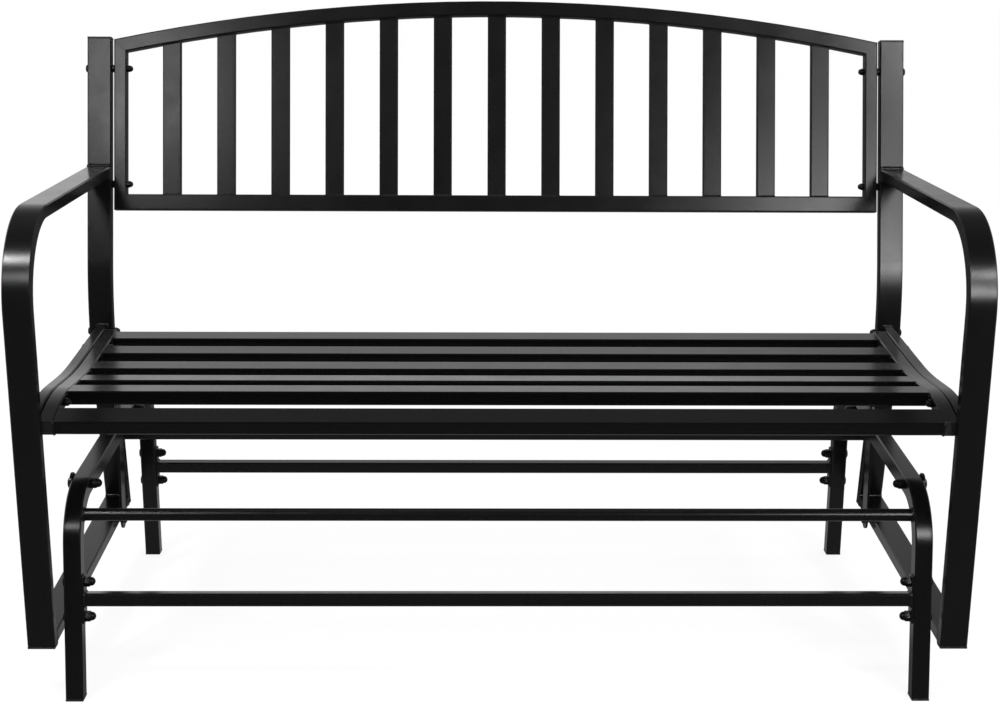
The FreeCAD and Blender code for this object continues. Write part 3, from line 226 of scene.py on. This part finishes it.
ROUND = 36  # sides of a turned piece
DOME = 8  # steps from the rim of a dome to its middle
LARGE_BOLT = dict(radius=7.5, tall=3.1, shank=4.0)  # 8 mm, in the pivots and the base
SMALL_BOLT = dict(radius=6.0, tall=3.6, shank=3.0)  # 6 mm, in the seat and the back
LARGE_NUT = dict(across=13.0, hexagon_tall=7.0, tall=14.0)
SMALL_NUT = dict(across=10.0, hexagon_tall=4.5, tall=9.0)
LARGE_BORE, SMALL_BORE = 4.05, 3.2  # radius of the hole round a bolt of each size


def solids_of(name):
    """The lowest and highest corner of each separate solid in a CAD piece."""
    mesh = bmesh.new()
    mesh.from_mesh(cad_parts[name].data)
    bmesh.ops.remove_doubles(mesh, verts=mesh.verts, dist=0.002 * MM)
    left, found = set(mesh.verts), []
    while left:
        ready, island = [left.pop()], []
        while ready:
            vert = ready.pop()
            island.append(vert.co.copy())
            for link in vert.link_edges:
                other = link.other_vert(vert)
                if other in left:
                    left.remove(other)
                    ready.append(other)
        found.append((Vector(min(c[i] for c in island) for i in range(3)),
                      Vector(max(c[i] for c in island) for i in range(3))))
    mesh.free()
    return sorted(found, key=lambda pair: tuple(round(c, 5) for c in pair[0]))


def hexagon(across, angle):
    """Distance from the middle to the side of a hexagon, at an angle."""
    return across / 2 / math.cos((angle % (math.pi / 3)) - math.pi / 6)


def dome_turns():
    """Angles up a dome, from its rim to its middle."""
    return [math.radians(90 * i / DOME) for i in range(DOME + 1)]


def turned(mesh, outline, seat, way, middle):
    """Adds a turned piece about an axis along X. Each step of the outline is a distance from the seat and
    a radius, or a function of the angle that gives it. Both ends are closed by a face."""
    rings = []
    for along, radius in outline:
        ring = []
        for i in range(ROUND):
            angle = 2 * math.pi * i / ROUND
            size = radius(angle) if callable(radius) else radius
            ring.append(mesh.verts.new((seat + way * along * MM, middle[0] + size * MM * math.cos(angle),
                                        middle[1] + size * MM * math.sin(angle))))
        rings.append(ring)
    for one, two in zip(rings, rings[1:]):
        for i in range(ROUND):
            after = (i + 1) % ROUND
            mesh.faces.new((one[i], one[after], two[after], two[i]))
    mesh.faces.new(rings[0])
    mesh.faces.new(rings[-1])


def new_piece(name, mesh, finish, body, sharp=35):
    """Turns a bmesh into a piece that rides on a body. Edges that turn by more than sharp, in degrees, stay
    hard."""
    bmesh.ops.recalc_face_normals(mesh, faces=mesh.faces)
    for edge in mesh.edges:
        if len(edge.link_faces) == 2 and edge.calc_face_angle(0) > math.radians(sharp):
            edge.smooth = False
    for face in mesh.faces:
        face.smooth = True
    data = bpy.data.meshes.new(name)
    mesh.to_mesh(data)
    mesh.free()
    data.materials.append(finish)
    piece = bpy.data.objects.new(name, data)
    bpy.context.scene.collection.objects.link(piece)
    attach(piece, body)
    return piece


def button_head(radius, tall, long, shank):
    """Outline of a button-head bolt with a hexagon socket, from the shank's tip to the socket's floor."""
    socket_across = radius * 0.62

    def socket(angle):
        return hexagon(socket_across, angle)

    def mouth(angle):
        return hexagon(socket_across, angle) * 1.08

    tip = 0.8
    outline = [(-long, shank * 0.75), (tip - long, shank), (0, shank),  # the shank and its chamfered tip
               (0, radius - 0.35), (0.12, radius - 0.08)]  # the underside of the head, with an eased rim
    for turn in dome_turns():
        outline.append((tall * (0.22 + 0.78 * math.sin(turn)), radius * (0.5 + 0.5 * math.cos(turn)) - 0.02))
    return outline + [(tall, mouth), (tall * 0.94, socket), (tall * 0.35, socket)]


def make_bolts(name, node, body, radius, tall, shank, inward=False):
    mesh = bmesh.new()
    for low, high in solids_of(node):
        way = math.copysign(1, low.x + high.x) * (-1 if inward else 1)
        long = (high.x - low.x) / MM - tall
        seat = (high.x if way > 0 else low.x) - way * tall * MM
        middle = ((low.y + high.y) / 2, (low.z + high.z) / 2)
        turned(mesh, button_head(radius, tall, long, shank), seat, way, middle)
    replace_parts(new_piece(name, mesh, BOLT_ZINC, body), node)


def cap_nut(across, hexagon_tall, tall):
    """Outline of an acorn nut: a hexagon with its corners turned off at both ends, a neck and a round cap."""

    def side(angle):
        return hexagon(across, angle)

    def chamfer(share):
        return lambda angle: min(hexagon(across, angle), across * share)

    cap = across / 2 - 0.5
    cap_tall = cap * 0.95
    shoulder = tall - cap_tall
    outline = [(0, across / 2 - 0.9), (0, chamfer(0.515)), (0.5, side),  # the seat and its chamfer
               (hexagon_tall - 0.7, side), (hexagon_tall, chamfer(0.5)),  # the flats and the upper chamfer
               (hexagon_tall, cap + 0.1)]  # the neck
    for turn in dome_turns():
        outline.append((shoulder + cap_tall * math.sin(turn), max(cap * math.cos(turn), 0.15)))
    return outline


def make_nuts(name, node, body, across, hexagon_tall, tall):
    mesh = bmesh.new()
    for low, high in solids_of(node):
        way = -math.copysign(1, low.x + high.x)
        seat = low.x if way > 0 else high.x
        middle = ((low.y + high.y) / 2, (low.z + high.z) / 2)
        turned(mesh, cap_nut(across, hexagon_tall, tall), seat, way, middle)
    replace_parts(new_piece(name, mesh, NUT_ZINC, body, sharp=28), node)


def make_sleeves(name, node, body, bore, finish):
    """Smooth rings and bosses in place of the many-sided ones."""
    mesh = bmesh.new()
    for low, high in solids_of(node):
        long = (high.x - low.x) / MM
        outer = (high.z - low.z) / 2 / MM
        middle = ((low.y + high.y) / 2, (low.z + high.z) / 2)
        ease_by = min(0.4, long / 8)
        turned(mesh, [(0, bore), (0, outer - ease_by), (ease_by, outer), (long - ease_by, outer),
                      (long, outer - ease_by), (long, bore)], low.x, 1, middle)
    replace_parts(new_piece(name, mesh, finish, body), node)


make_bolts("crossbar_button_bolts", "crossbar_bolts", "base", **LARGE_BOLT)
make_bolts("upper_pivot_button_bolts", "upper_pivot_bolts", "base", **LARGE_BOLT)
make_bolts("lower_pivot_button_bolts", "lower_pivot_bolts", "seat", inward=True, **LARGE_BOLT)
make_bolts("seat_button_bolts", "seat_bolts", "seat", **SMALL_BOLT)
make_bolts("back_button_bolts", "back_bolts", "seat", **SMALL_BOLT)
make_nuts("base_acorn_nuts", "base_cap_nuts", "base", **LARGE_NUT)
make_nuts("seat_acorn_nuts", "seat_cap_nuts", "seat", **SMALL_NUT)
make_sleeves("rail_and_back_washers", "seat_spacers", "seat", SMALL_BORE, BOLT_ZINC)
make_sleeves("lower_pivot_sleeves", "lower_pivot_bosses", "seat", LARGE_BORE, NUT_ZINC)
for side in SIDES:
    for end in ("front", "rear"):
        make_sleeves("nylon_bushes_%s_%s" % (end, side), "link_bushes_%s_%s" % (end, side),
                     "link_%s_%s" % (end, side), LARGE_BORE, BUSH_PLASTIC)


# Rounded corners of the CAD pieces that still show

LARGE_TUBES = ("arm_tube", "base_side_frame", "rear_post", "lower_rail", "outer_seat_rail")
LARGE_TUBE_CORNER, SMALL_CORNER = 3.0, 1.2


def ease(piece, radius):
    """Rounds the corners of a tube or plug, as drawn tube and moulded plugs are, within the CAD shape. First
    the CAD mesh is joined up and its flats are cleared of inner edges."""
    joined = piece.modifiers.new("joined_faces", "WELD")
    joined.merge_threshold = 0.01 * MM
    flats = piece.modifiers.new("plain_flats", "DECIMATE")
    flats.decimate_type = "DISSOLVE"
    flats.angle_limit = math.radians(0.5)
    corner = piece.modifiers.new("round_corners", "BEVEL")
    corner.width = radius * MM
    corner.segments = 3
    corner.limit_method = "ANGLE"
    corner.angle_limit = math.radians(30)
    corner.use_clamp_overlap = True
    smooth = piece.modifiers.new("even_shading", "WEIGHTED_NORMAL")
    smooth.mode = "FACE_AREA"
    smooth.weight = 100


for name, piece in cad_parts.items():
    if not piece.hide_render:
        ease(piece, LARGE_TUBE_CORNER if name.startswith(LARGE_TUBES) else SMALL_CORNER)


# Weld beads, laid in the corner where one tube's end meets another tube. Their sizes are in millimetres.

BEAD_SIDES = 8
STEP = 0.8  # from one ring of a bead to the next
RIPPLE = 2.4  # from one ripple of the bead to the next
WANDER = 5.3  # over this length the bead's width drifts
BACK_LEAN = 0.2147  # millimetres back for each millimetre up
BACK_UP = (0, math.sin(math.atan(BACK_LEAN)), math.cos(math.atan(BACK_LEAN)))
BACK_DOWN = tuple(-part for part in BACK_UP)


def tube_end(node, way, margin):
    """The outer corners of a tube's end in order: those within the margin of its furthest point along way."""
    way = Vector(way).normalized()
    across = Vector((0, 1, 0)) if abs(way.x) > 0.9 else Vector((1, 0, 0))
    up = way.cross(across).normalized()
    across = up.cross(way)
    spots = [vert.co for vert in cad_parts[node].data.vertices]
    far = max(spot.dot(way) for spot in spots)
    spots = sorted({(round(s.dot(across), 6), round(s.dot(up), 6), round(s.dot(way), 6))
                    for s in spots if s.dot(way) > far - margin * MM})
    hull = []
    for turn in (spots, spots[::-1]):
        start = len(hull)
        for spot in turn:
            while len(hull) > start + 1:
                (a, b, _), (c, d, _) = hull[-2], hull[-1]
                if (c - a) * (spot[1] - b) - (d - b) * (spot[0] - a) > 1e-9:
                    break
                hull.pop()
            hull.append(spot)
        hull.pop()
    return [across * a + up * b + way * c for a, b, c in hull], way


def bead_steps(corners, way):
    """Points round a tube's end with the direction that faces out of the tube at each."""
    steps = []
    for one, two in zip(corners, corners[1:] + corners[:1]):
        run = two - one
        count = max(1, round(run.length / MM / STEP))
        out = run.cross(way).normalized()
        if out.dot(one - sum(corners, Vector()) / len(corners)) < 0:
            out = -out
        steps += [(one + run * i / count, out) for i in range(count + 1)]
    return steps


def lay_bead(mesh, steps, way, radius, closed):
    """A round bead along the steps, rippled as it was laid. An open one tapers to both ends."""
    rings = []
    count = len(steps)
    for i, (spot, out) in enumerate(steps):
        along = i * STEP
        ripple = 0.10 * abs(math.sin(math.pi * along / RIPPLE))
        drift = 0.04 * math.sin(along / WANDER + spot.x * 90)
        size = radius * (0.93 + ripple + drift)
        if not closed:
            size *= math.sqrt(min(1.0, (min(i, count - 1 - i) + 0.3) * STEP / radius))
        rings.append([mesh.verts.new(spot + (out * math.cos(turn) + way * math.sin(turn)) * size * MM)
                      for turn in (2 * math.pi * k / BEAD_SIDES for k in range(BEAD_SIDES))])
    pairs = list(zip(rings, rings[1:]))
    if closed:
        pairs.append((rings[-1], rings[0]))
    else:
        mesh.faces.new(rings[0])
        mesh.faces.new(rings[-1])
    for one, two in pairs:
        for k in range(BEAD_SIDES):
            after = (k + 1) % BEAD_SIDES
            mesh.faces.new((one[k], one[after], two[after], two[k]))


def weld(mesh, node, way, radius, margin=1.0, where=None):
    """Lays the bead round a tube's end, or on those of its sides that where picks by the way they face. A
    coped or slanted end reaches back by the margin."""
    corners, way = tube_end(node, way, margin)
    steps = bead_steps(corners, way)
    if where is None:
        lay_bead(mesh, steps, way, radius, True)
        return
    kept = [where(out) for spot, out in steps]
    first = next(i for i in range(len(steps)) if kept[i] and not kept[i - 1])
    run = []
    for i in range(len(steps) + 1):
        k = (first + i) % len(steps)
        if i < len(steps) and kept[k]:
            run.append(steps[k])
        elif run:
            lay_bead(mesh, run, way, radius, False)
            run = []


def weld_piece(name, body, joints):
    mesh = bmesh.new()
    for joint in joints:
        weld(mesh, **joint)
    new_piece(name, mesh, WELD_COAT, body, sharp=60)


def not_sideways(out):
    """Picks the sides of a tube's end that don't face along the bench."""
    return abs(out.x) < 0.75


def not_upward(out):
    """Picks every side of a tube's end but its top."""
    return out.z < 0.5


weld_piece("arm_weld_beads", "seat", [
    dict(node="arm_tube_" + side, way=BACKWARD, radius=3.8, margin=6, where=not_sideways) for side in SIDES])
weld_piece("outer_rail_weld_beads", "seat", [
    dict(node="outer_seat_rail_" + side, way=way, radius=2.2, margin=6)
    for side in SIDES for way in (FORWARD, BACKWARD)])
weld_piece("lower_rail_weld_beads", "seat", [
    dict(node="lower_rail_" + side, way=way, radius=2.2, margin=8, where=not_sideways)
    for side in SIDES for way in (FORWARD, BACKWARD)])
weld_piece("stretcher_weld_beads", "seat", [
    dict(node="rear_stretcher", way=way, radius=2.0) for way in (LEFT, RIGHT)])
weld_piece("seat_slat_weld_beads", "seat", [
    dict(node="seat_slat_%d" % number, way=way, radius=1.9, where=not_upward)
    for number in range(1, 7) for way in (LEFT, RIGHT)])
weld_piece("back_slat_weld_beads", "seat", [
    dict(node="back_slat_%d" % number, way=way, radius=1.7, margin=8, where=not_sideways)
    for number in range(1, 14) for way in (BACK_UP, BACK_DOWN)])
weld_piece("crossbar_weld_beads", "base", [
    dict(node=end + "_crossbar", way=way, radius=2.0) for end in ("front", "rear") for way in (LEFT, RIGHT)])
weld_piece("cross_tube_weld_beads", "base", [
    dict(node="upper_cross_tube", way=way, radius=1.8) for way in (LEFT, RIGHT)])


# Studio, in metres: a white floor and room, five soft boxes in front and one overhead

FLOOR_REACH = 30.0
LIT_BAND_MIDDLE = 0.36  # from the bench's middle back to the middle of the band of painted light that the coat mirrors
SEAT_MIDDLE = (0, 0, 0.5)
UNDER_SEAT = (0, 0, 0.4)
# CAD pieces with flat tops, in which someone behind the bench would see the front boxes glare
SLATS_AND_RAILS = ["seat_slat_%d" % number for number in range(1, 7)] + [
    node + side for node in ("seat_side_rail_", "outer_seat_rail_", "lower_rail_") for side in SIDES]
ALL_LOW_TUBES = SLATS_AND_RAILS + ["base_side_frame_" + side for side in SIDES]


def seen_white(tree):
    """Two values: 1 for a ray from the camera, and 1 for a ray that is mirrored or shines through."""
    rays = add(tree, "ShaderNodeLightPath")
    mirrored = add(tree, "ShaderNodeMath", {"operation": "MAXIMUM"},
                   {0: rays.outputs["Is Glossy Ray"], 1: rays.outputs["Is Transmission Ray"]})
    return rays.outputs["Is Camera Ray"], mirrored.outputs[0]


def make_floor():
    """A white floor. It looks white to the eye and keeps the bench's soft shadow. Mirrored in the coat, it
    shows a painted pool of light, a glow in a band under the back half of the bench and just behind it, and it
    is dim elsewhere."""
    finish, tree, where = finish_named("white_studio_floor")
    camera, mirrored = seen_white(tree)
    place = add(tree, "ShaderNodeSeparateXYZ", {}, {0: where})
    beyond = add(tree, "ShaderNodeMath", {"operation": "SUBTRACT", 1: LIT_BAND_MIDDLE}, {0: place.outputs["Y"]})
    away = add(tree, "ShaderNodeMath", {"operation": "ABSOLUTE"}, {0: beyond.outputs[0]})
    # the band is even out to 0.36 m from its middle and gone at 0.54 m, and the rest darkens out to 2 m
    near = add(tree, "ShaderNodeMapRange",
               {"From Min": 0.36, "From Max": 0.54, "To Min": 0.38, "To Max": 0.0}, {"Value": away.outputs[0]})
    far = add(tree, "ShaderNodeMapRange",
              {"From Min": 0.6, "From Max": 2.0, "To Min": 0.16, "To Max": 0.09}, {"Value": away.outputs[0]})
    lit = add(tree, "ShaderNodeMath", {"operation": "MAXIMUM"},
              {0: near.outputs["Result"], 1: far.outputs["Result"]})
    paint = add(tree, "ShaderNodeBsdfDiffuse", {"Color": linear("#fcfcfc")})
    glow = add(tree, "ShaderNodeEmission", {"Color": linear("#ffffff"), "Strength": 1.0})
    # painted light: a glow that only mirrored rays see, bright in the band and dim elsewhere, standing in for
    # how the studio lights the floor
    sheen = add(tree, "ShaderNodeEmission", {"Color": linear("#ffffff")}, {"Strength": lit.outputs[0]})
    # to the eye the floor is mostly its own white, and the rest of it takes the shadow
    share = add(tree, "ShaderNodeMath", {"operation": "MULTIPLY", 1: 0.86}, {0: camera})
    both = add(tree, "ShaderNodeMixShader", {},
               {0: share.outputs[0], 1: paint.outputs[0], 2: glow.outputs[0]})
    every = add(tree, "ShaderNodeMixShader", {}, {0: mirrored, 1: both.outputs[0], 2: sheen.outputs[0]})
    add(tree, "ShaderNodeOutputMaterial", {}, {"Surface": every.outputs[0]})
    mesh = bpy.data.meshes.new("studio_floor")
    corners = [(-FLOOR_REACH, -FLOOR_REACH, 0), (FLOOR_REACH, -FLOOR_REACH, 0),
               (FLOOR_REACH, FLOOR_REACH, 0), (-FLOOR_REACH, FLOOR_REACH, 0)]
    mesh.from_pydata(corners, [], [(0, 1, 2, 3)])
    mesh.materials.append(finish)
    floor = bpy.data.objects.new("studio_floor", mesh)
    bpy.context.scene.collection.objects.link(floor)


def make_world():
    """White to the eye all round. Mirrored in the coat, it is a dim room with a white backdrop behind the
    bench and a pale screen on either side."""
    world = bpy.data.worlds.new("white_studio")
    bpy.context.scene.world = world
    world.use_nodes = True
    tree = world.node_tree
    tree.nodes.clear()
    camera, mirrored = seen_white(tree)
    way = add(tree, "ShaderNodeSeparateXYZ", {}, {0: add(tree, "ShaderNodeTexCoord").outputs["Generated"]})
    # the backdrop fades upward, and to the right
    behind = add(tree, "ShaderNodeMapRange",
                 {"From Min": -0.2, "From Max": 0.3, "To Min": 0.0, "To Max": 1.0},
                 {"Value": way.outputs["Y"]})
    low = add(tree, "ShaderNodeMapRange",
              {"From Min": 0.20, "From Max": 0.68, "To Min": 0.95, "To Max": 0.18},
              {"Value": way.outputs["Z"]})
    left = add(tree, "ShaderNodeMapRange",
               {"From Min": 0.13, "From Max": 0.27, "To Min": 1.0, "To Max": 0.45},
               {"Value": way.outputs["X"]})
    middle = add(tree, "ShaderNodeMath", {"operation": "MULTIPLY"},
                 {0: behind.outputs["Result"], 1: left.outputs["Result"]})
    backdrop = add(tree, "ShaderNodeMath", {"operation": "MULTIPLY"},
                   {0: middle.outputs[0], 1: low.outputs["Result"]})
    # the screens
    aside = add(tree, "ShaderNodeMath", {"operation": "ABSOLUTE"}, {0: way.outputs["X"]})
    screens = add(tree, "ShaderNodeMapRange",
                  {"From Min": 0.36, "From Max": 0.65, "To Min": 0.0, "To Max": 0.5},
                  {"Value": aside.outputs[0]})
    shown = add(tree, "ShaderNodeMath", {"operation": "MAXIMUM"},
                {0: backdrop.outputs[0], 1: screens.outputs["Result"]})
    # the room's own dim light
    lit = add(tree, "ShaderNodeMapRange",
              {"From Min": 0.0, "From Max": 1.0, "To Min": 0.08, "To Max": 1.0}, {"Value": shown.outputs[0]})
    room = add(tree, "ShaderNodeBackground", {"Color": linear("#ffffff"), "Strength": 1.0})
    white = add(tree, "ShaderNodeBackground", {"Color": linear("#ffffff"), "Strength": 1.0})
    sheen = add(tree, "ShaderNodeBackground", {"Color": linear("#ffffff")},
                {"Strength": lit.outputs["Result"]})
    both = add(tree, "ShaderNodeMixShader", {}, {0: camera, 1: room.outputs[0], 2: white.outputs[0]})
    every = add(tree, "ShaderNodeMixShader", {}, {0: mirrored, 1: both.outputs[0], 2: sheen.outputs[0]})
    add(tree, "ShaderNodeOutputWorld", {}, {"Surface": every.outputs[0]})


def soft_box(name, place, wide, tall, power, aim=SEAT_MIDDLE, flagged=()):
    """A lamp behind cloth, brightest in its middle and fading to its edges. A flag in front of it keeps its
    light off the CAD pieces named in flagged."""
    lamp = bpy.data.lights.new(name, "AREA")
    lamp.shape = "RECTANGLE"
    lamp.size, lamp.size_y = wide, tall
    lamp.energy = power
    lamp.use_nodes = True
    tree = lamp.node_tree
    tree.nodes.clear()
    spot = add(tree, "ShaderNodeNewGeometry").outputs["Parametric"]
    off = add(tree, "ShaderNodeVectorMath", {"operation": "DISTANCE", 1: (0.5, 0.5, 0.0)}, {0: spot})
    fade = add(tree, "ShaderNodeMapRange",
               {"interpolation_type": "SMOOTHSTEP", "From Min": 0.05, "From Max": 0.5,
                "To Min": 1.0, "To Max": 0.0}, {"Value": off.outputs["Value"]})
    glow = add(tree, "ShaderNodeEmission", {"Color": linear("#ffffff")}, {"Strength": fade.outputs["Result"]})
    add(tree, "ShaderNodeOutputLight", {}, {"Surface": glow.outputs[0]})
    box = bpy.data.objects.new(name, lamp)
    box.location = place
    box.rotation_euler = (Vector(aim) - Vector(place)).to_track_quat("-Z", "Y").to_euler()
    box.visible_camera = False
    bpy.context.scene.collection.objects.link(box)
    if flagged:
        flag = bpy.data.collections.new("flag_of_" + name)
        for piece in flagged:
            flag.objects.link(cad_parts[piece])
        for entry in flag.collection_objects:
            entry.light_linking.link_state = "EXCLUDE"
        box.light_linking.receiver_collection = flag


make_floor()
make_world()
soft_box("box_front_left", (-1.08, -2.40, 1.75), wide=0.56, tall=0.70, power=26, flagged=SLATS_AND_RAILS)
soft_box("box_high_left", (-1.46, -1.94, 2.76), wide=0.48, tall=0.60, power=150, flagged=ALL_LOW_TUBES)
soft_box("box_front_right", (1.05, -2.45, 1.32), wide=0.74, tall=0.75, power=28, flagged=SLATS_AND_RAILS)
soft_box("box_low_right", (1.27, -2.50, 1.04), wide=0.50, tall=0.70, power=36, flagged=SLATS_AND_RAILS)
soft_box("box_high_right", (1.60, -2.30, 2.00), wide=0.48, tall=0.70, power=125, flagged=ALL_LOW_TUBES)
soft_box("box_overhead", (0, 0.2, 3.2), wide=2.4, tall=1.6, power=20, aim=UNDER_SEAT)

bpy.context.scene.view_settings.view_transform = "Standard"
